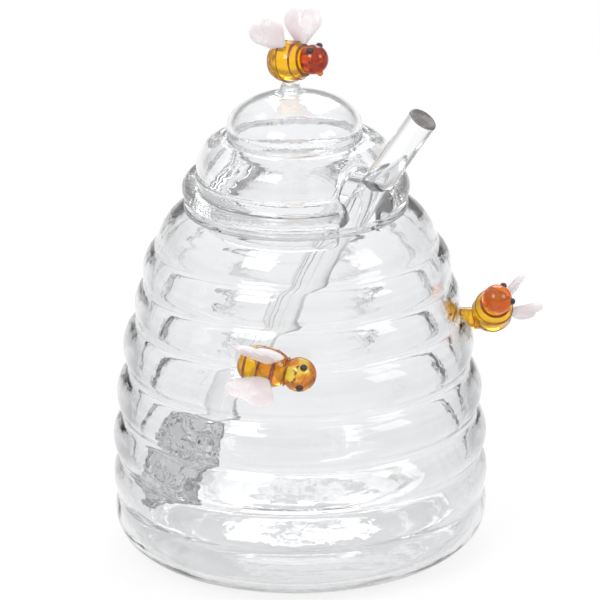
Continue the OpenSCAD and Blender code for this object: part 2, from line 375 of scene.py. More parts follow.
@dataclass(frozen=True)
class GroundFace(Finish):
    """The ground cut end of the rod, grey and frosted with grinding marks."""

    def paint(self, shader: Shader) -> None:
        """Builds the nodes of the finish.

        Args:
            shader: Empty tree of the material.
        """
        marks = shader.noise(900.0, 3.0, (0.25, 1.0, 1.0))
        patch = shader.noise(280.0, 2.0).step(0.35, 0.7)
        shader.surface({
            "Base Color": shader.mix(patch, (0.115, 0.105, 0.1), (0.2, 0.185, 0.18)),
            "Roughness": 0.28 + marks * 0.3,
            "IOR": 1.474,
            "Transmission Weight": 0.15,
            "Coat Weight": 0.25,
            "Coat Roughness": 0.1,
            "Normal": shader.bump(marks, 0.00012),
        })


LID_GLASS = ClearGlass("lid_clear", "clear_glass", wave=0.0002, depth=6.0, layer=3.0)
POT_GLASS = ClearGlass("pot_clear", "clear_glass", wave=0.0003, depth=26.0, layer=3.0)
ROD_GLASS = ClearGlass("drawn_clear", "clear_glass", wave=0.00005, wave_scale=70.0, depth=2.0)
HEAD_GLASS = ClearGlass("ringed_clear", "clear_glass", wave=0.0028, wave_scale=120.0, depth=19.0, layer=3.4)
GROUND = GroundFace("ground_end", "clear_glass")
AMBER = TintedGlass("amber_body", "amber_glass")
RED_HEAD = TintedGlass(
    "red_bead",
    "red_glass",
    light=(0.82, 0.11, 0.01),
    deep=(0.45, 0.03, 0.005),
    dark=(0.12, 0.01, 0.004),
    streak_span=(0.35, 0.65),
    spot_span=(0.6, 0.7),
)
DARK_HEAD = TintedGlass(
    "streaked_bead",
    "dark_amber_glass",
    light=(1.0, 0.76, 0.09),
    deep=(0.75, 0.14, 0.01),
    dark=(0.2, 0.02, 0.005),
    streak_span=(0.46, 0.58),
    spot_span=(0.62, 0.68),
)
ORANGE_HEAD = TintedGlass(
    "orange_bead",
    "orange_glass",
    light=(1.0, 0.36, 0.005),
    deep=(1.0, 0.24, 0.005),
    dark=(0.5, 0.07, 0.006),
    streak_span=(0.4, 0.75),
)
THREAD = ThreadGlass("brown_thread", "brown_glass", (0.3, 0.06, 0.012), (0.55, 0.16, 0.03), 0.6)
BLACK = ThreadGlass("black_bead", "black_glass", (0.012, 0.009, 0.008), (0.03, 0.012, 0.008))
MILK = MilkGlass("milk_petal", "milk_glass")


def arc(a: Point, b: Point, swell: float, steps: int = 12) -> Points:
    """Points of a round stretch.

    Args:
        a: First point.
        b: Last point.
        swell: How far the stretch swells to the right of the way from a to b.
        steps: Number of steps.

    Returns:
        The points from a to b.
    """
    p, q = np.array(a), np.array(b)
    length = float(np.linalg.norm(q - p))
    along = (q - p) / length
    out = np.array([along[1], -along[0]])
    half = 2 * math.atan(2 * swell / length)
    radius = length / 2 / math.sin(half)
    centre = (p + q) / 2 + out * (swell - radius)
    turns = [half * (2 * k / steps - 1) for k in range(steps + 1)]
    return [tuple(centre + radius * (out * math.cos(t) + along * math.sin(t))) for t in turns]


def chain(*parts: Sequence[Point]) -> Points:
    """Joins stretches of points and leaves out doubled ends.

    Args:
        parts: The stretches in their order.

    Returns:
        The joined stretch.
    """
    made: Points = []
    for part in parts:
        for p in part:
            if not made or math.dist(made[-1], p) > 1e-4:
                made.append((float(p[0]), float(p[1])))
    return made


def spin(outline: Points, segments: int) -> Shape:
    """Turns an outline about the Z axis.

    Args:
        outline: Radius and height of each point, counter-clockwise round the solid. It is closed by itself.
        segments: Number of segments in a turn.

    Returns:
        The vertices and the faces of a closed mesh.
    """
    turns = np.linspace(0, 2 * math.pi, segments, endpoint=False)
    verts: list[np.ndarray] = []
    rows: list[list[int]] = []
    for r, z in outline:
        start = len(verts)
        if r < 1e-5:
            verts.append(np.array([0.0, 0.0, z]))
            rows.append([start] * segments)
        else:
            verts.extend(np.array([r * math.cos(t), r * math.sin(t), z]) for t in turns)
            rows.append([start + k for k in range(segments)])
    faces: list[tuple[int, ...]] = []
    for one, two in zip(rows, rows[1:] + rows[:1], strict=True):
        if one[0] == one[1] and two[0] == two[1]:
            continue
        for k in range(segments):
            n = (k + 1) % segments
            quad = (one[k], one[n], two[n], two[k])
            faces.append(tuple(dict.fromkeys(quad)))
    return np.array(verts), faces


def build(
    name: str,
    verts: np.ndarray,
    faces: Sequence[Sequence[int]],
    finish: Finish,
    place: Matrix | None = None,
    sharp: float = 45.0,
) -> bpy.types.Object:
    """Makes a mesh object from points in millimetres.

    Args:
        name: Name of the piece.
        verts: Points in millimetres.
        faces: Faces by index.
        finish: Finish of the whole piece.
        place: Place of the points in the frame, in millimetres.
        sharp: Angle above which an edge stays sharp, in degrees.

    Returns:
        The linked object.
    """
    matrix = np.array(place) if place is not None else np.eye(4)
    world = (verts @ matrix[:3, :3].T + matrix[:3, 3]) * MM
    mesh = bpy.data.meshes.new(name)
    mesh.from_pydata(world.tolist(), [], [list(f) for f in faces])
    mesh.validate()
    mesh.shade_smooth()
    mesh.set_sharp_from_angle(angle=math.radians(sharp))
    mesh.materials.append(finish.material())
    obj = bpy.data.objects.new(name, mesh)
    bpy.context.scene.collection.objects.link(obj)
    return obj


def settle(obj: bpy.types.Object, body: str, finish: Finish, *nodes: str) -> bpy.types.Object:
    """Rides a piece on its body, in the place of CAD nodes.

    Args:
        obj: The piece.
        body: Body that it rides on.
        finish: Finish of the piece; not used.
        nodes: CAD nodes that it stands for.

    Returns:
        The piece.
    """
    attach(obj, body)
    if nodes:
        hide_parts(*nodes)
    LOG.info("%s rides on %s", obj.name, body)
    return obj


def waves(verts: np.ndarray, depth: float, seed: int) -> np.ndarray:
    """Draws blown glass in by a slow random wave, never outwards.

    Args:
        verts: Points in millimetres about the Z axis.
        depth: Largest draw, in millimetres.
        seed: Seed of the wave.

    Returns:
        The moved points.
    """
    rng = np.random.default_rng(seed)
    turn, z = np.arctan2(verts[:, 1], verts[:, 0]), verts[:, 2]
    total = np.zeros(len(verts))
    for _ in range(9):
        around, up = rng.integers(1, 7), rng.uniform(-0.16, 0.16)
        size = rng.uniform(0.4, 1.0)
        total += size * np.cos(around * turn + up * z + rng.uniform(0, 2 * math.pi)) / (1 + around * 0.25)
    total = 0.5 + 0.5 * np.tanh(total / 1.6)
    reach = np.hypot(verts[:, 0], verts[:, 1])
    share = 1 - depth * total / np.maximum(reach, 8.0)
    moved = verts.copy()
    moved[:, 0] *= share
    moved[:, 1] *= share
    return moved


@dataclass
class Pot:
    """The pot: eight rolls, a flat foot and a fire-polished rim. Lengths are in millimetres."""

    belly_r: float = 49.7
    roll_h: tuple[float, ...] = (11.2, 10.8, 11.5, 13.3, 13.6, 10.6, 10.2, 11.0)
    roll_bulge: tuple[float, ...] = (1.75, 1.7, 2.7, 3.2, 3.3, 1.9, 2.0, 1.85)
    taper: float = 12.6
    base_r: float = 37.8
    base_h: float = 4.2
    base_tuck: float = 1.5
    base_bulge: float = 1.25
    wall: float = 2.0
    floor_t: float = 3.0
    floor_r: float = 43.0
    floor_bulge: float = 3.4
    rim_r: float = 29.0
    bead_r: float = 1.2
    inner_share: float = 0.85
    eased: Point = (3.2, 94.5)
    waved: Point = (6.0, 92.0)
    wave_depth: float = 0.175
    wave_seed: int = 3
    segments: int = 256

    def __post_init__(self) -> None:
        """Works out the heights of the grooves."""
        self.groove_z = [self.base_h + sum(self.roll_h[:i]) for i in range(len(self.roll_h) + 1)]
        self.rim_z = self.groove_z[-1]

    def groove_r(self, i: int) -> float:
        """Outer radius of a groove.

        Args:
            i: Number of the groove, counted from the lowest.

        Returns:
            The radius, in millimetres.
        """
        if i == 0:
            return self.belly_r - self.base_tuck
        rise = (self.groove_z[i] - self.groove_z[1]) / (self.rim_z - self.groove_z[1])
        return self.belly_r - self.taper * rise**1.35 - (self.belly_r - self.taper - self.rim_r) * rise**12

    def on_bead(self, angle: float) -> Point:
        """A point on the rim's round section, at an angle in degrees."""
        a = math.radians(angle)
        return self.rim_r + self.bead_r * math.cos(a), self.rim_z + self.bead_r * math.sin(a)

    def outline(self) -> Points:
        """The closed section of the pot, from the middle of the foot outwards.

        Returns:
            Radius and height of each point.
        """
        rolls = len(self.roll_h)
        outer = [(self.groove_r(i), self.groove_z[i]) for i in range(rolls)] + [self.on_bead(-30)]
        inner = [(self.groove_r(i) - self.wall, self.groove_z[i]) for i in range(rolls)] + [self.on_bead(200)]
        outside = chain(
            [(0, 0), (self.base_r * 0.5, 0)],
            arc((self.base_r, 0), outer[0], self.base_bulge, 10),
            *[arc(outer[i], outer[i + 1], self.roll_bulge[i], 14) for i in range(rolls)],
        )
        bead = [self.on_bead(-30 + 230 * k / 20) for k in range(1, 20)]
        swell = [bulge * self.inner_share for bulge in self.roll_bulge]
        inside = chain(
            [(0, self.floor_t), (self.floor_r * 0.5, self.floor_t)],
            arc((self.floor_r, self.floor_t), inner[1], self.floor_bulge, 12),
            *[arc(inner[i], inner[i + 1], swell[i], 14) for i in range(1, rolls)],
        )
        return self.soften(chain(outside, bead, inside[::-1]))

    def soften(self, points: Points) -> Points:
        """Rounds the sharp creases of the grooves, as blown glass has them.

        Args:
            points: The section.

        Returns:
            The section with its creases eased between the foot and the rim.
        """
        low, high = self.eased
        p = np.array(points)
        for _ in range(2):
            q = p.copy()
            q[1:-1] = 0.25 * p[:-2] + 0.5 * p[1:-1] + 0.25 * p[2:]
            keep = (p[:, 1] < low) | (p[:, 1] > high)
            q[keep] = p[keep]
            p = q
        return [tuple(x) for x in p]

    def make(self) -> None:
        """Builds the pot."""
        verts, faces = spin(self.outline(), self.segments)
        low, high = self.waved
        blown = (verts[:, 2] > low) & (verts[:, 2] < high)
        verts[blown] = waves(verts, self.wave_depth, self.wave_seed)[blown]
        settle(build("blown_pot", verts, faces, POT_GLASS), "pot", POT_GLASS, "pot")


@dataclass
class Lid:
    """The loose lid with its inner ring, notch and stem. Lengths are in millimetres."""

    pot: Pot
    seat_gap: float = 0.3
    wall: float = 1.8
    ring_fit: float = 1.4
    ring_h: float = 7.4
    seat_r: float = 28.9
    groove_1: Point = (26.4, 6.95)
    groove_2: Point = (17.5, 17.15)
    bulge: Point = (3.1, 3.8)
    crease_1: Point = (0.4, 0.6)
    crease_2: Point = (0.0, 0.7)
    inner_bulge: float = 2.4
    fillet: Point = (0.25, 0.45)
    dome_foot: Point = (18.4, 20.0)
    dome_h: float = 9.7
    notch_w: float = 13.8
    notch_h: float = 12.9
    notch_turn: float = -48.5
    stem_h: float = 3.0
    stem_offset: float = -1.0
    stem_r: Point = (2.4, 3.6)
    stem_waist: float = 0.7
    voxel: float = 0.55
    melt: float = 1.6
    melt_core: float = 0.9
    melt_passes: int = 14
    wave_depth: float = 0.18
    wave_seed: int = 11

    def __post_init__(self) -> None:
        """Works out the heights."""
        self.z = self.pot.rim_z + self.pot.bead_r + self.seat_gap
        self.ring_r = self.pot.rim_r - self.pot.bead_r - self.ring_fit
        self.dome_z = self.z + self.dome_foot[1]
        self.dome_top = self.dome_z + self.dome_h

    def dome(self, r: float, h: float) -> Points:
        """A quarter of an ellipse from the dome's foot to its top."""
        turns = [math.pi / 2 * k / 32 for k in range(33)]
        return [(r * math.cos(t), self.dome_z + h * math.sin(t)) for t in turns]

    def outline(self) -> Points:
        """The closed section of the lid, from the foot of the ring outwards.

        Returns:
            Radius and height of each point.
        """
        g1 = (self.groove_1[0], self.z + self.groove_1[1])
        g2 = (self.groove_2[0], self.z + self.groove_2[1])
        i1 = (g1[0] - self.wall - self.crease_1[0], g1[1] - self.crease_1[1])
        i2 = (g2[0] - self.wall - self.crease_2[0], g2[1] - self.crease_2[1])
        foot = self.z - self.ring_h
        mid, half = self.ring_r - self.wall / 2, self.wall / 2
        turns = [math.pi * k / 8 for k in range(9)]
        lip = [(mid - half * math.cos(t), foot + half * (1 - math.sin(t))) for t in turns]
        outer = chain(
            arc((self.seat_r, self.z), g1, self.bulge[0], 18),
            arc(g1, g2, self.bulge[1], 22),
            self.dome(self.dome_foot[0], self.dome_h),
        )
        inner = chain(
            arc((self.ring_r - self.wall, self.z + self.wall), i1, self.inner_bulge, 14),
            arc(i1, i2, self.bulge[1] * self.pot.inner_share, 18),
            self.dome(self.dome_foot[0] - self.wall, self.dome_h - self.wall),
        )
        seat = [(self.ring_r, self.z), (self.ring_r + self.fillet[0], self.z + self.fillet[1])]
        return chain(lip, seat, outer, inner[::-1])

    def cutter(self) -> bpy.types.Object:
        """The solid that cuts the round-topped notch.

        Returns:
            The cutter, turned to the notch.
        """
        r, top, low = self.notch_w / 2, self.z + self.notch_h - self.notch_w / 2, self.z - self.ring_h - 2
        edge = [(r * math.cos(t), top + r * math.sin(t)) for t in np.linspace(0, math.pi, 33)]
        loop = [(r, low), *edge, (-r, low)]
        near, far, n = 12.0, 44.0, len(loop)
        verts = np.array([(x, y, z) for x in (near, far) for y, z in loop])
        faces = [tuple(range(n))[::-1], tuple(range(n, 2 * n))]
        faces += [(k, (k + 1) % n, n + (k + 1) % n, n + k) for k in range(n)]
        turn = Matrix.Rotation(math.radians(self.notch_turn), 4, "Z")
        return build("notch_cutter", verts, faces, LID_GLASS, turn)

    def notch_depth(self, p: np.ndarray) -> np.ndarray:
        """Distance of each point outside the notch's outline, in millimetres.

        Args:
            p: Points in millimetres.

        Returns:
            The distances, negative inside the notch.
        """
        a = math.radians(self.notch_turn)
        ahead = p[:, 0] * math.cos(a) + p[:, 1] * math.sin(a)
        aside = -p[:, 0] * math.sin(a) + p[:, 1] * math.cos(a)
        up = np.maximum(p[:, 2] - (self.z + self.notch_h - self.notch_w / 2), 0)
        return np.where(ahead > 0, np.hypot(aside, up) - self.notch_w / 2, 1e3)

    def snap(self, p: np.ndarray) -> np.ndarray:
        """Puts points on the lid's exact section.

        Args:
            p: Points in millimetres.

        Returns:
            The nearest points on the section, each at its own turn.
        """
        section = self.outline()
        line = np.array([*section, section[0]])
        a, d, batch = line[:-1], np.diff(line, axis=0), 4000
        flat = np.column_stack([np.hypot(p[:, 0], p[:, 1]), p[:, 2]])
        best = np.empty_like(flat)
        for start in range(0, len(p), batch):
            some = flat[start : start + batch, None, :]
            q = some - a[None]
            t = np.clip((q * d).sum(2) / (d * d).sum(1), 0, 1)
            near = a[None] + t[..., None] * d[None]
            pick = ((some - near) ** 2).sum(2).argmin(1)
            best[start : start + batch] = near[np.arange(len(pick)), pick]
        share = best[:, 0] / np.maximum(flat[:, 0], 1e-6)
        return np.column_stack([p[:, 0] * share, p[:, 1] * share, best[:, 1]])

    def polished(self, obj: bpy.types.Object) -> bpy.types.Object:
        """Melts the notch's cut edge round and keeps every other surface exact.

        Args:
            obj: The spun lid.

        Returns:
            The finished lid.
        """
        cut = obj.modifiers.new("notch", "BOOLEAN")
        cut.operation, cut.solver, cut.object = "DIFFERENCE", "EXACT", self.cutter()
        remesh = obj.modifiers.new("melt", "REMESH")
        remesh.mode, remesh.voxel_size, remesh.use_smooth_shade = "VOXEL", self.voxel * MM, True
        shape = obj.evaluated_get(bpy.context.evaluated_depsgraph_get())
        mesh = bpy.data.meshes.new_from_object(shape)
        bpy.data.objects.remove(cut.object)
        obj.modifiers.clear()
        p = np.zeros(len(mesh.vertices) * 3)
        mesh.vertices.foreach_get("co", p)
        p = p.reshape(-1, 3) / MM
        pairs = np.zeros(len(mesh.edges) * 2, int)
        mesh.edges.foreach_get("vertices", pairs)
        one, two = pairs.reshape(-1, 2).T
        far = self.notch_depth(p)
        near = far < self.melt
        count = np.bincount(one, minlength=len(p)) + np.bincount(two, minlength=len(p))
        exact = self.snap(p)
        p[~near] = exact[~near]
        for _ in range(self.melt_passes):
            total = np.zeros_like(p)
            np.add.at(total, one, p[two])
            np.add.at(total, two, p[one])
            p[near] = 0.4 * p[near] + 0.6 * (total / count[:, None])[near]
        share = np.clip((far - self.melt_core) / (self.melt - self.melt_core), 0, 1)[:, None]
        hold = (far > self.melt_core) & near
        p[hold] = (p * (1 - share) + self.snap(p) * share)[hold]
        p = waves(p, self.wave_depth, self.wave_seed)
        mesh.vertices.foreach_set("co", (p * MM).ravel())
        mesh.update()
        mesh.shade_smooth()
        obj.data = mesh
        return obj

    def make(self) -> None:
        """Builds the lid."""
        verts, faces = spin(self.outline(), self.pot.segments)
        lid = self.polished(build("blown_lid", verts, faces, LID_GLASS))
        lid.data.materials.clear()
        lid.data.materials.append(LID_GLASS.material())
        settle(lid, "lid", LID_GLASS, "lid")


@dataclass
class Dipper:
    """The dipper: a rod with a ringed head. Lengths are in millimetres."""

    pot: Pot
    rod_r: float = 4.0
    length: float = 151.0
    lean_turn: float = -52.0
    tip_turn: float = 168.5
    tip_side_gap: float = 0.9
    tip_r: float = 4.5
    head_l: float = 30.0
    head_r: float = 10.0
    rings: int = 6
    groove: float = 2.2
    crease: float = 0.7
    gap: float = 0.3
    cut_r: float = 0.6
    segments: int = 96

    def place(self) -> Matrix:
        """Place of the dipper, with its tip's middle at the origin and its rod along Z.

        Returns:
            The place in the frame, in millimetres.
        """
        reach = self.pot.belly_r - self.pot.wall - self.tip_r - self.tip_side_gap
        a = math.radians(self.tip_turn)
        tip = Vector((reach * math.cos(a), reach * math.sin(a), self.pot.floor_t + self.gap + self.tip_r))
        lean = math.radians(self.lean_turn)

        def rest(r: float) -> Vector:
            """Way from the tip's middle to the rim's height, where the rod leans, at a radius."""
            return Vector((r * math.cos(lean), r * math.sin(lean), self.pot.rim_z)) - tip

        guess = rest(self.pot.rim_r - self.pot.bead_r - self.rod_r)
        turn = math.atan2(guess.y, guess.x)
        tilt = math.atan(math.hypot(guess.x, guess.y) / guess.z * math.cos(turn - lean))
        way = rest(self.pot.rim_r - (self.pot.bead_r + self.rod_r + self.gap) / math.cos(tilt))
        pitch, yaw = math.atan2(math.hypot(way.x, way.y), way.z), math.atan2(way.y, way.x)
        return Matrix.Translation(tip) @ Matrix.Rotation(yaw, 4, "Z") @ Matrix.Rotation(pitch, 4, "Y")

    def outline(self) -> Points:
        """The section of the dipper from its tip to its cut end.

        Returns:
            Radius and height of each point.
        """
        span = self.head_l / self.rings
        turns = [math.pi / 2 * k / 10 for k in range(11)]
        tip = [(self.tip_r * math.sin(t), -self.tip_r * math.cos(t)) for t in turns]
        rings: Points = []
        for i in range(self.rings):
            for k in range(15):
                z = (i + k / 14) * span
                swell = math.sin(math.pi * (z + self.tip_r) / (self.head_l + 2 * self.tip_r))
                full = self.tip_r + (self.head_r - self.tip_r) * swell
                crease = self.crease * math.exp(-(((k - 7) / 1.5) ** 2))
                rings.append((full - self.groove * (1 - math.sin(math.pi * k / 14)) - crease, z))
        end = self.length - self.tip_r
        neck = [(self.rod_r + 0.5 * math.exp(-k), self.head_l + 0.35 * k) for k in range(6)]
        rod = [(self.rod_r, z) for z in np.linspace(self.head_l + 4, end - 0.7, 12)]
        round_off = [(1 - math.cos(t), 1 - math.sin(t)) for t in np.linspace(0, 1.3, 5)]
        edge = [(self.rod_r - self.cut_r * x, end - self.cut_r * z) for x, z in round_off]
        face = [(self.rod_r - 0.85, end), (self.rod_r - 1.2, end - 0.12), (1.2, end - 0.2), (0.0, end - 0.2)]
        return chain(tip, rings, neck, rod, edge, face)

    def make(self) -> None:
        """Builds the dipper."""
        verts, faces = spin(self.outline(), self.segments)
        turn = np.arctan2(verts[:, 1], verts[:, 0])
        ringed = (verts[:, 2] > 1) & (verts[:, 2] < self.head_l - 1)
        verts[ringed, :2] *= (1 - 0.012 * (1 + np.sin(2 * turn + verts[:, 2] * 0.35)))[ringed, None]
        place = self.place()
        obj = build("dipper", verts, faces, ROD_GLASS, place, 50.0)
        obj.data.materials.append(GROUND.material())
        obj.data.materials.append(HEAD_GLASS.material())
        end = self.length - self.tip_r - 0.45
        back = place.inverted()
        for face in obj.data.polygons:
            z = (back @ (face.center / MM)).z
            face.material_index = 1 if z > end else 2 if z < self.head_l else 0
        settle(obj, "dipper", ROD_GLASS, "dipper_rod", "dipper_head")


class Seat(Enum):
    """Where a bee sits, with the name its CAD nodes start with."""

    LID = "lid_bee"
    FRONT = "front_bee"
    SIDE = "side_bee"


@dataclass
class Wing:
    """One wing: its size and how it is set on the bee."""

    length: float
    width: float
    along: float
    sweep: float
    spread: float

    @property
    def middle(self) -> np.ndarray:
        """The wing's middle, across and along it."""
        return np.array([0.0, self.length * 0.5])


@dataclass
class Bee:
    """A lampworked bee that looks along +X with its back to +Z. Lengths are in millimetres."""

    seat: Seat
    body: str
    size: Triple
    place: Matrix
    head: Finish
    left: Wing
    right: Wing
    seed: int
    stripes: tuple[float, ...] = (-4.7, -1.0, 3.0)
    stripe_w: tuple[float, ...] = (1.2, 1.0, 1.5)
    neck_sink: float = 2.2
    power: float = 2.5
    wing_t: float = 2.1
    root_r: float = 1.3
    lobe_share: float = 0.29
    lobe_blend: float = 0.9
    stripe_share: float = 0.66
    stripe_t: float = 0.12
    collar_w: float = 0.8
    collar_t: float = 0.38
    eye_d: float = 1.9
    mouth_d: float = 1.7
    segments: int = 64
    eye_way: Triple = (0.25, 0.6, 0.75)
    mouth_way: Triple = (0.3, 0.0, -0.95)

    def __post_init__(self) -> None:
        """Works out where the head sits."""
        self.long, self.wide, self.head_d = self.size
        self.head_x = (self.long + self.head_d) / 2 - self.neck_sink

    def name(self, part: str) -> str:
        """Name of one of the bee's CAD nodes."""
        return f"{self.seat.value}_{part}"

    def put(self, part: str, verts: np.ndarray, faces: Sequence[Sequence[int]], finish: Finish) -> None:
        """Builds one part of the bee in the place of its CAD node."""
        obj = build(f"{self.name(part)}_glass", verts, faces, finish, self.place, 60.0)
        settle(obj, self.body, finish, self.name(part))

    def girth(self, x: float) -> float:
        """Radius of the body at a place along it."""
        share = min(1.0, abs(x) / (self.long / 2))
        return self.wide / 2 * (1 - share**self.power) ** (1 / self.power)

    def turned(self, outline: Points) -> Shape:
        """Spins an outline of radius and place about the bee's own length."""
        verts, faces = spin(outline, self.segments)
        return np.column_stack([verts[:, 2], verts[:, 1], -verts[:, 0]]), faces

    def lumpy(self, verts: np.ndarray, depth: float) -> np.ndarray:
        """Draws hand-formed glass in by slow lumps.

        Args:
            verts: Points about the middle of the body, in millimetres.
            depth: Strength of the lumps.

        Returns:
            The moved points.
        """
        rng = np.random.default_rng(self.seed)
        total = np.zeros(len(verts))
        for _ in range(6):
            way = rng.normal(size=3) * 0.42
            total += np.sin(verts @ way + rng.uniform(0, 6.28))
        return verts * (1 - depth / 6 * (0.5 + 0.5 * np.tanh(total / 2)))[:, None]

    def abdomen(self) -> None:
        """Builds the body."""
        half = self.long / 2
        places = [-half * math.cos(t) for t in np.linspace(0, math.pi, 41)]
        outline = [(max(0.0, self.girth(x)), x) for x in places]
        verts, faces = self.turned(outline)
        self.put("body", self.lumpy(verts, 0.25), faces, AMBER)

    def skull(self) -> None:
        """Builds the head, which meets the body's front."""
        r = self.head_d / 2
        ball = [(r * math.sin(t), self.head_x - r * math.cos(t)) for t in np.linspace(0, math.pi, 49)]
        clear = [p for p in ball if p[1] > self.long / 2 or p[0] > self.girth(p[1]) + 0.03]
        start = clear[0][1]
        under = [(self.girth(x) + 0.02, x + 0.02) for x in np.linspace(start, self.long / 2 - 1e-4, 14)]
        outline = chain([(0.0, self.long / 2 + 0.03)], under[::-1], clear)
        verts, faces = self.turned(outline)
        self.put("head", verts, faces, self.head)

    def band(self, x: float, width: float, radius: float, thick: float, sway: float) -> Shape:
        """A melted thread round the body.

        Args:
            x: Place along the body.
            width: Width of the thread.
            radius: Radius of its middle, or 0 where the thread follows the body.
            thick: Half its thickness.
            sway: How far it wanders along the body.

        Returns:
            Vertices and faces of a closed ring.
        """
        rng = np.random.default_rng(self.seed + abs(int(x * 10)) + 40)
        phase = rng.uniform(0, 6.28, 4)
        around, section = 72, 14
        verts, faces = [], []
        for i in range(around):
            t = 2 * math.pi * i / around
            shift = sway * (math.sin(t + phase[0]) + 0.5 * math.sin(3 * t + phase[1]))
            back = (0.5 + 0.5 * math.sin(t)) ** 2 if not radius else 0.6
            uneven = 1 + 0.14 * math.sin(3 * t + phase[2]) + 0.08 * math.sin(5 * t + phase[3])
            fat = (0.14 + 0.9 * back) * uneven
            for k in range(section):
                a = 2 * math.pi * k / section
                place = x + shift + width / 2 * fat * math.cos(a)
                r = (radius if radius else self.girth(place)) + thick * math.sin(a)
                verts.append((place, r * math.cos(t), r * math.sin(t)))
                j, m = (i + 1) % around, (k + 1) % section
                faces.append((i * section + k, i * section + m, j * section + m, j * section + k))
        return np.array(verts), faces

    def threads(self) -> None:
        """Builds the dark stripes and the collar at the neck."""
        neck = self.long / 2 - self.neck_sink / 2
        rings = [
            self.band(x, w * self.stripe_share, 0.0, self.stripe_t, 0.12)
            for x, w in zip(self.stripes, self.stripe_w, strict=True)
        ]
        rings.append(self.band(neck + 0.1, self.collar_w, self.girth(neck) + 0.1, self.collar_t, 0.0))
        verts, faces, start = [], [], 0
        for v, f in rings:
            verts.append(v)
            faces += [tuple(i + start for i in face) for face in f]
            start += len(v)
        self.put("stripes", np.vstack(verts), faces, THREAD)

    def bead(self, way: Triple, d: float) -> Shape:
        """A bead melted onto the head, slightly flattened where it sits.

        Args:
            way: Direction from the head's middle.
            d: Diameter of the bead.

        Returns:
            Vertices and faces of the bead.
        """
        out = Vector(way).normalized()
        section = [(d / 2 * math.sin(t), -d / 2 * math.cos(t) * 0.94) for t in np.linspace(0, math.pi, 21)]
        verts, faces = spin(section, 32)
        skirt = np.clip(-verts[:, 2] / (d / 2), 0, 1)[:, None]
        verts[:, :2] *= 1 + 0.08 * np.sin(math.pi * skirt)
        turn = np.array(out.to_track_quat("Z", "Y").to_matrix())
        centre = np.array([self.head_x, 0, 0]) + np.array(out) * self.head_d / 2
        return verts @ turn.T + centre, faces

    def face(self) -> None:
        """Builds the eyes and the mouth."""
        x, y, z = self.eye_way
        one, faces = self.bead((x, y, z), self.eye_d)
        two, _ = self.bead((x, -y, z), self.eye_d)
        both = faces + [tuple(i + len(one) for i in f) for f in faces]
        self.put("eyes", np.vstack([one, two]), both, BLACK)
        self.put("mouth", *self.bead(self.mouth_way, self.mouth_d), ORANGE_HEAD)

    def wing_edge(self, wing: Wing, count: int = 96) -> np.ndarray:
        """Outline of a wing with two soft lobes, about its middle.

        Args:
            wing: The wing.
            count: Number of points.

        Returns:
            Points across and along the wing, from its root.
        """
        lobe_r = wing.width * self.lobe_share
        lobe = np.array([wing.width / 2 - lobe_r, wing.length - lobe_r])
        middle = wing.middle
        steps = np.linspace(0, wing.length, 260)
        edge = []
        for t in np.linspace(0, 2 * math.pi, count, endpoint=False):
            ray = middle + steps[:, None] * np.array([math.cos(t), math.sin(t)])
            gaps = []
            for side in (-1, 1):
                end = lobe * (side, 1)
                h = np.clip(ray @ end / (end @ end), 0, 1)
                radius = self.root_r + (lobe_r - self.root_r) * h
                gaps.append(np.linalg.norm(ray - h[:, None] * end, axis=1) - radius)
            blend = np.clip(0.5 + 0.5 * (gaps[1] - gaps[0]) / self.lobe_blend, 0, 1)
            union = gaps[1] * (1 - blend) + gaps[0] * blend - self.lobe_blend * blend * (1 - blend)
            inside = np.nonzero(union < 0)[0]
            edge.append(ray[inside[-1]])
        return np.array(edge)

    def wing(self, part: str, wing: Wing, side: int) -> None:
        """Builds a pillowy wing.

        Args:
            part: Name of the part.
            wing: Its size and setting.
            side: 1 for the left and -1 for the right one.
        """
        edge = self.wing_edge(wing)
        middle = wing.middle
        levels = np.sin(np.linspace(math.pi / 2, 0, 12))
        verts: list[Triple] = []
        rows: list[list[int]] = []
        for sign in (1, -1):
            for s in levels if sign == 1 else levels[::-1]:
                if s < 1e-6:
                    rows.append([len(verts)] * len(edge))
                    verts.append((middle[0], sign * self.wing_t * 0.46, middle[1]))
                    continue
                if sign == -1 and s > 1 - 1e-6:
                    break
                rows.append(list(range(len(verts), len(verts) + len(edge))))
                crease = np.exp(-(((edge[:, 0]) / 1.3) ** 2)) * (edge[:, 1] > middle[1]) * 0.35 * s
                thick = self.wing_t / 2 * (1 - s**3.2) ** 0.5 * (0.92 - crease)
                flat = middle + (edge - middle) * s
                verts.extend((x, sign * h, z) for (x, z), h in zip(flat, thick, strict=True))
        upper, lower = rows[: len(levels)], rows[len(levels) :]
        faces = []
        for a, b in [*pairwise(upper), *pairwise(lower), (lower[-1], upper[0])]:
            faces += self.strip(a, b)
        v = np.array(verts)
        turn = (
            Matrix.Rotation(math.radians(-side * wing.spread), 3, "X")
            @ Matrix.Rotation(math.radians(-wing.sweep), 3, "Y")
        )
        root = np.array([wing.along, side * self.wide * 0.2, self.wide * 0.36])
        self.put(part, v @ np.array(turn).T + root, faces, MILK)

    @staticmethod
    def strip(a: list[int], b: list[int]) -> list[tuple[int, ...]]:
        """Faces between two closed rows of points."""
        n = len(a)
        return [tuple(dict.fromkeys((a[k], b[k], b[(k + 1) % n], a[(k + 1) % n]))) for k in range(n)]

    def make(self) -> None:
        """Builds the whole bee."""
        self.abdomen()
        self.skull()
        self.threads()
        self.face()
        self.wing("left_wing", self.left, 1)
        self.wing("right_wing", self.right, -1)


def facing(yaw: float, pitch: float, roll: float) -> Matrix:
    """Turn of a bee, in degrees."""
    a, b, c = (math.radians(x) for x in (yaw, pitch, roll))
    return Matrix.Rotation(a, 4, "Z") @ Matrix.Rotation(-b, 4, "Y") @ Matrix.Rotation(c, 4, "X")


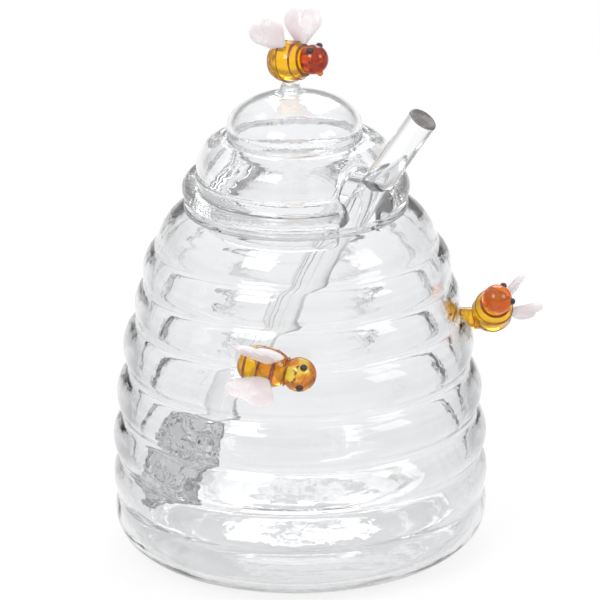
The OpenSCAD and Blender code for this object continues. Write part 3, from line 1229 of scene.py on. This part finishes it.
@dataclass
class Swarm:
    """The three bees with the stem and the feet that carry them."""

    lid: Lid
    lid_bee: Triple = (11.6, 11.2, 8.0)
    front_bee: Triple = (14.2, 10.8, 9.2)
    side_bee: Triple = (12.6, 11.0, 8.2)
    lid_turn: Triple = (-32, 12, 0)
    front_turn: Triple = (90, -11, 80)
    side_turn: Triple = (-80, 41, -70)
    front_spot: Triple = (49.9, 0, 68)
    side_spot: Triple = (52.6, 0, 64.6)
    front_yaw: float = -100.5

    def lid_place(self) -> Matrix:
        """Place of the bee on the lid."""
        z = self.lid.dome_top + self.lid.stem_h + self.lid_bee[1] / 2
        return Matrix.Translation((self.lid.stem_offset, 0, z)) @ facing(*self.lid_turn)

    def front_place(self) -> Matrix:
        """Place of the bee on the pot's front."""
        spot = Matrix.Rotation(math.radians(self.front_yaw), 4, "Z") @ Matrix.Translation(self.front_spot)
        return spot @ facing(*self.front_turn)

    def side_place(self) -> Matrix:
        """Place of the bee on the pot's side."""
        return Matrix.Translation(self.side_spot) @ facing(*self.side_turn)

    def stem(self) -> None:
        """Builds the flared stem under the lid's bee."""
        top = self.lid.dome_top + self.lid.stem_h + self.lid_bee[1] / 4
        foot = self.lid.dome_top - 0.12
        r0, r1 = self.lid.stem_r
        side = arc((r1, foot), (r0, top), -self.lid.stem_waist * 0.9, 16)
        skirt = [(r1 + 0.9, foot - 0.32), (r1 + 0.35, foot - 0.05)]
        outline = chain([(0.0, foot - 0.2)], skirt, side, [(0.0, top)])
        verts, faces = spin(outline, 64)
        verts[:, 0] += self.lid.stem_offset
        settle(build("lid_stem_glass", verts, faces, ROD_GLASS), "lid", ROD_GLASS, "lid_stem")

    def feet(self, nodes: dict[str, bpy.types.Object]) -> None:
        """Dresses the melted feet.

        Args:
            nodes: The CAD nodes by name.
        """
        for name in ("front_bee_foot", "side_bee_foot"):
            node = nodes[name]
            node.data.materials.clear()
            node.data.materials.append(AMBER.material())
            node.data.shade_smooth()
            LOG.info("%s keeps its CAD shape", name)

    def make(self, nodes: dict[str, bpy.types.Object]) -> None:
        """Builds the bees and what carries them.

        Args:
            nodes: The CAD nodes by name.
        """
        self.stem()
        self.feet(nodes)
        Bee(
            Seat.LID,
            "lid",
            self.lid_bee,
            self.lid_place(),
            RED_HEAD,
            Wing(9.6, 12.0, 3.2, -4, 21),
            Wing(9.6, 12.0, -0.3, 22, 21),
            5,
        ).make()
        Bee(
            Seat.FRONT,
            "pot",
            self.front_bee,
            self.front_place(),
            DARK_HEAD,
            Wing(12.0, 14.2, 1.0, 15, 26),
            Wing(12.0, 14.2, 1.2, 18, 26),
            8,
        ).make()
        Bee(
            Seat.SIDE,
            "pot",
            self.side_bee,
            self.side_place(),
            ORANGE_HEAD,
            Wing(8.9, 10.6, 0.5, 16, 19),
            Wing(8.9, 10.6, 0.5, 16, 19),
            13,
        ).make()


@dataclass
class Studio:
    """Floor, world, lamps and camera."""

    tilt: float = 20.163
    roll: float = -0.954
    distance: float = 1.5
    lens: float = 332.43
    aim: Triple = (0.00064, 0.00279, 0.06759)
    pivot: Triple = (0.0, 0.0, 0.060)
    floor_r: float = 0.42
    floor_edges: int = 96
    floor_drop: float = 0.0002
    lamp_aim: Triple = (0.0, 0.0, 0.07)
    bounces: int = 40

    def camera(self) -> None:
        """Puts the camera where the photograph was taken."""
        data = bpy.data.cameras.new("camera")
        data.lens, data.sensor_width = self.lens, 36.0
        data.clip_start, data.clip_end = 0.05, 20.0
        camera = bpy.data.objects.new("camera", data)
        bpy.context.scene.collection.objects.link(camera)
        tilt, roll = math.radians(self.tilt), math.radians(self.roll)
        spot = Vector(self.pivot) + self.distance * Vector((0, -math.cos(tilt), math.sin(tilt)))
        ahead = (Vector(self.aim) - spot).normalized()
        level = ahead.cross(Vector((0, 0, 1))).normalized()
        over = level.cross(ahead)
        right = math.cos(roll) * level + math.sin(roll) * over
        up = right.cross(ahead)
        camera.matrix_world = Matrix.Translation(spot) @ Matrix((right, up, -ahead)).transposed().to_4x4()
        bpy.context.scene.camera = camera

    def seen(self, shader: Shader) -> Sock:
        """1 for what the camera sees, straight, mirrored or through glass.

        Args:
            shader: Tree that gets the nodes.

        Returns:
            The mask.
        """
        kinds = ("Camera", "Glossy", "Transmission")
        rays = [shader.node("ShaderNodeLightPath", out=f"Is {kind} Ray") for kind in kinds]
        return rays[0].above(rays[1]).above(rays[2])

    def floor(self) -> None:
        """Lays the pale floor."""
        turns = np.linspace(0, 2 * math.pi, self.floor_edges, endpoint=False)
        verts = [(self.floor_r * math.cos(t), self.floor_r * math.sin(t), -self.floor_drop) for t in turns]
        mesh = bpy.data.meshes.new("floor")
        mesh.from_pydata(verts, [], [list(range(self.floor_edges))])
        floor = bpy.data.objects.new("floor", mesh)
        bpy.context.scene.collection.objects.link(floor)
        material = bpy.data.materials.new("pale_floor")
        material.use_nodes = True
        shader = Shader(material.node_tree)
        paint = shader.node("ShaderNodeBsdfDiffuse", values={"Color": (0.93, 0.93, 0.93)})
        place = shader.node("ShaderNodeTexCoord", out="Object")
        x, y = (shader.node("ShaderNodeSeparateXYZ", values={0: place}, out=k) for k in range(2))
        reach = x * x + y * y
        aside = (x * x / reach.above(0.0001)).step(0.2, 0.75) * reach.step(0.002, 0.02)
        sight = shader.node("ShaderNodeLightPath", out="Is Camera Ray")
        shade = shader.mix(aside * (1.0 - sight), (1.0, 1.0, 1.0), (0.45, 0.45, 0.46))
        glow = shader.node("ShaderNodeEmission", values={"Color": shade, "Strength": 1.0})
        both = shader.node("ShaderNodeMixShader", values={0: self.seen(shader) * 0.82, 1: paint, 2: glow})
        shader.node("ShaderNodeOutputMaterial", values={"Surface": both})
        mesh.materials.append(material)

    def world(self) -> None:
        """Lights the object with a white room that darkens above the horizon."""
        world = bpy.data.worlds.new("studio")
        bpy.context.scene.world = world
        world.use_nodes = True
        shader = Shader(world.node_tree)
        way = shader.node("ShaderNodeTexCoord", out="Generated")
        x, y, z = (shader.node("ShaderNodeSeparateXYZ", values={0: way}, out=k) for k in range(3))
        height = (z + 1.0) * 0.5
        stops = [(0.0, 1.0), (0.46, 1.0), (0.505, 0.88), (0.54, 0.42), (0.61, 0.42), (0.66, 1.0), (1.0, 1.0)]
        wall = shader.node("ShaderNodeValToRGB", {"stops": stops}, {0: height})
        slant = x * y * 2.0 / (x * x + y * y).above(0.001)
        corner = slant * slant
        band = corner.step(0.6, 0.95) * (1.0 - z.step(0.5, 0.8)) * z.step(-0.2, 0.1) * 0.5
        room = shader.mix(band, wall, (0.12, 0.12, 0.125))
        light = shader.node("ShaderNodeBackground", values={"Color": (0.98, 0.985, 1.0), "Strength": 0.95})
        back = shader.node("ShaderNodeBackground", values={"Color": room, "Strength": 1.0})
        white = shader.node("ShaderNodeBackground", values={"Color": (1.0, 1.0, 1.0), "Strength": 1.0})
        camera = shader.node("ShaderNodeLightPath", out="Is Camera Ray")
        through = shader.node("ShaderNodeMixShader", values={0: self.seen(shader), 1: light, 2: back})
        both = shader.node("ShaderNodeMixShader", values={0: camera, 1: through, 2: white})
        shader.node("ShaderNodeOutputWorld", values={"Surface": both})

    def lamp(self, name: str, spot: Triple, size: float, power: float) -> None:
        """Adds a soft square lamp that faces the object.

        Args:
            name: Name of the lamp.
            spot: Its place, in metres.
            size: Length of its side, in metres.
            power: Its power, in watts.
        """
        data = bpy.data.lights.new(name, "AREA")
        data.shape, data.size, data.energy = "SQUARE", size, power
        lamp = bpy.data.objects.new(name, data)
        lamp.location = spot
        lamp.rotation_euler = (Vector(self.lamp_aim) - Vector(spot)).to_track_quat("-Z", "Y").to_euler()
        bpy.context.scene.collection.objects.link(lamp)

    def make(self) -> None:
        """Builds the studio."""
        scene = bpy.context.scene
        scene.view_settings.view_transform = "Standard"
        paths = scene.cycles
        paths.max_bounces = paths.glossy_bounces = paths.transmission_bounces = self.bounces
        self.camera()
        self.floor()
        self.world()
        self.lamp("key_lamp", (-0.55, -0.7, 0.9), 0.5, 5.0)
        self.lamp("fill_lamp", (0.8, -0.4, 0.6), 0.4, 2.0)
        self.lamp("back_lamp", (0.1, 0.9, 0.8), 0.6, 4.0)


def main() -> None:
    """Builds the scene in order."""
    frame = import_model()
    Studio().make()
    pot = Pot()
    pot.make()
    lid = Lid(pot)
    lid.make()
    Dipper(pot).make()
    Swarm(lid).make(frame["nodes"])
    LOG.info("scene built")


if __name__ == "__main__":
    logging.basicConfig(level=logging.INFO, format="%(message)s")
    main()
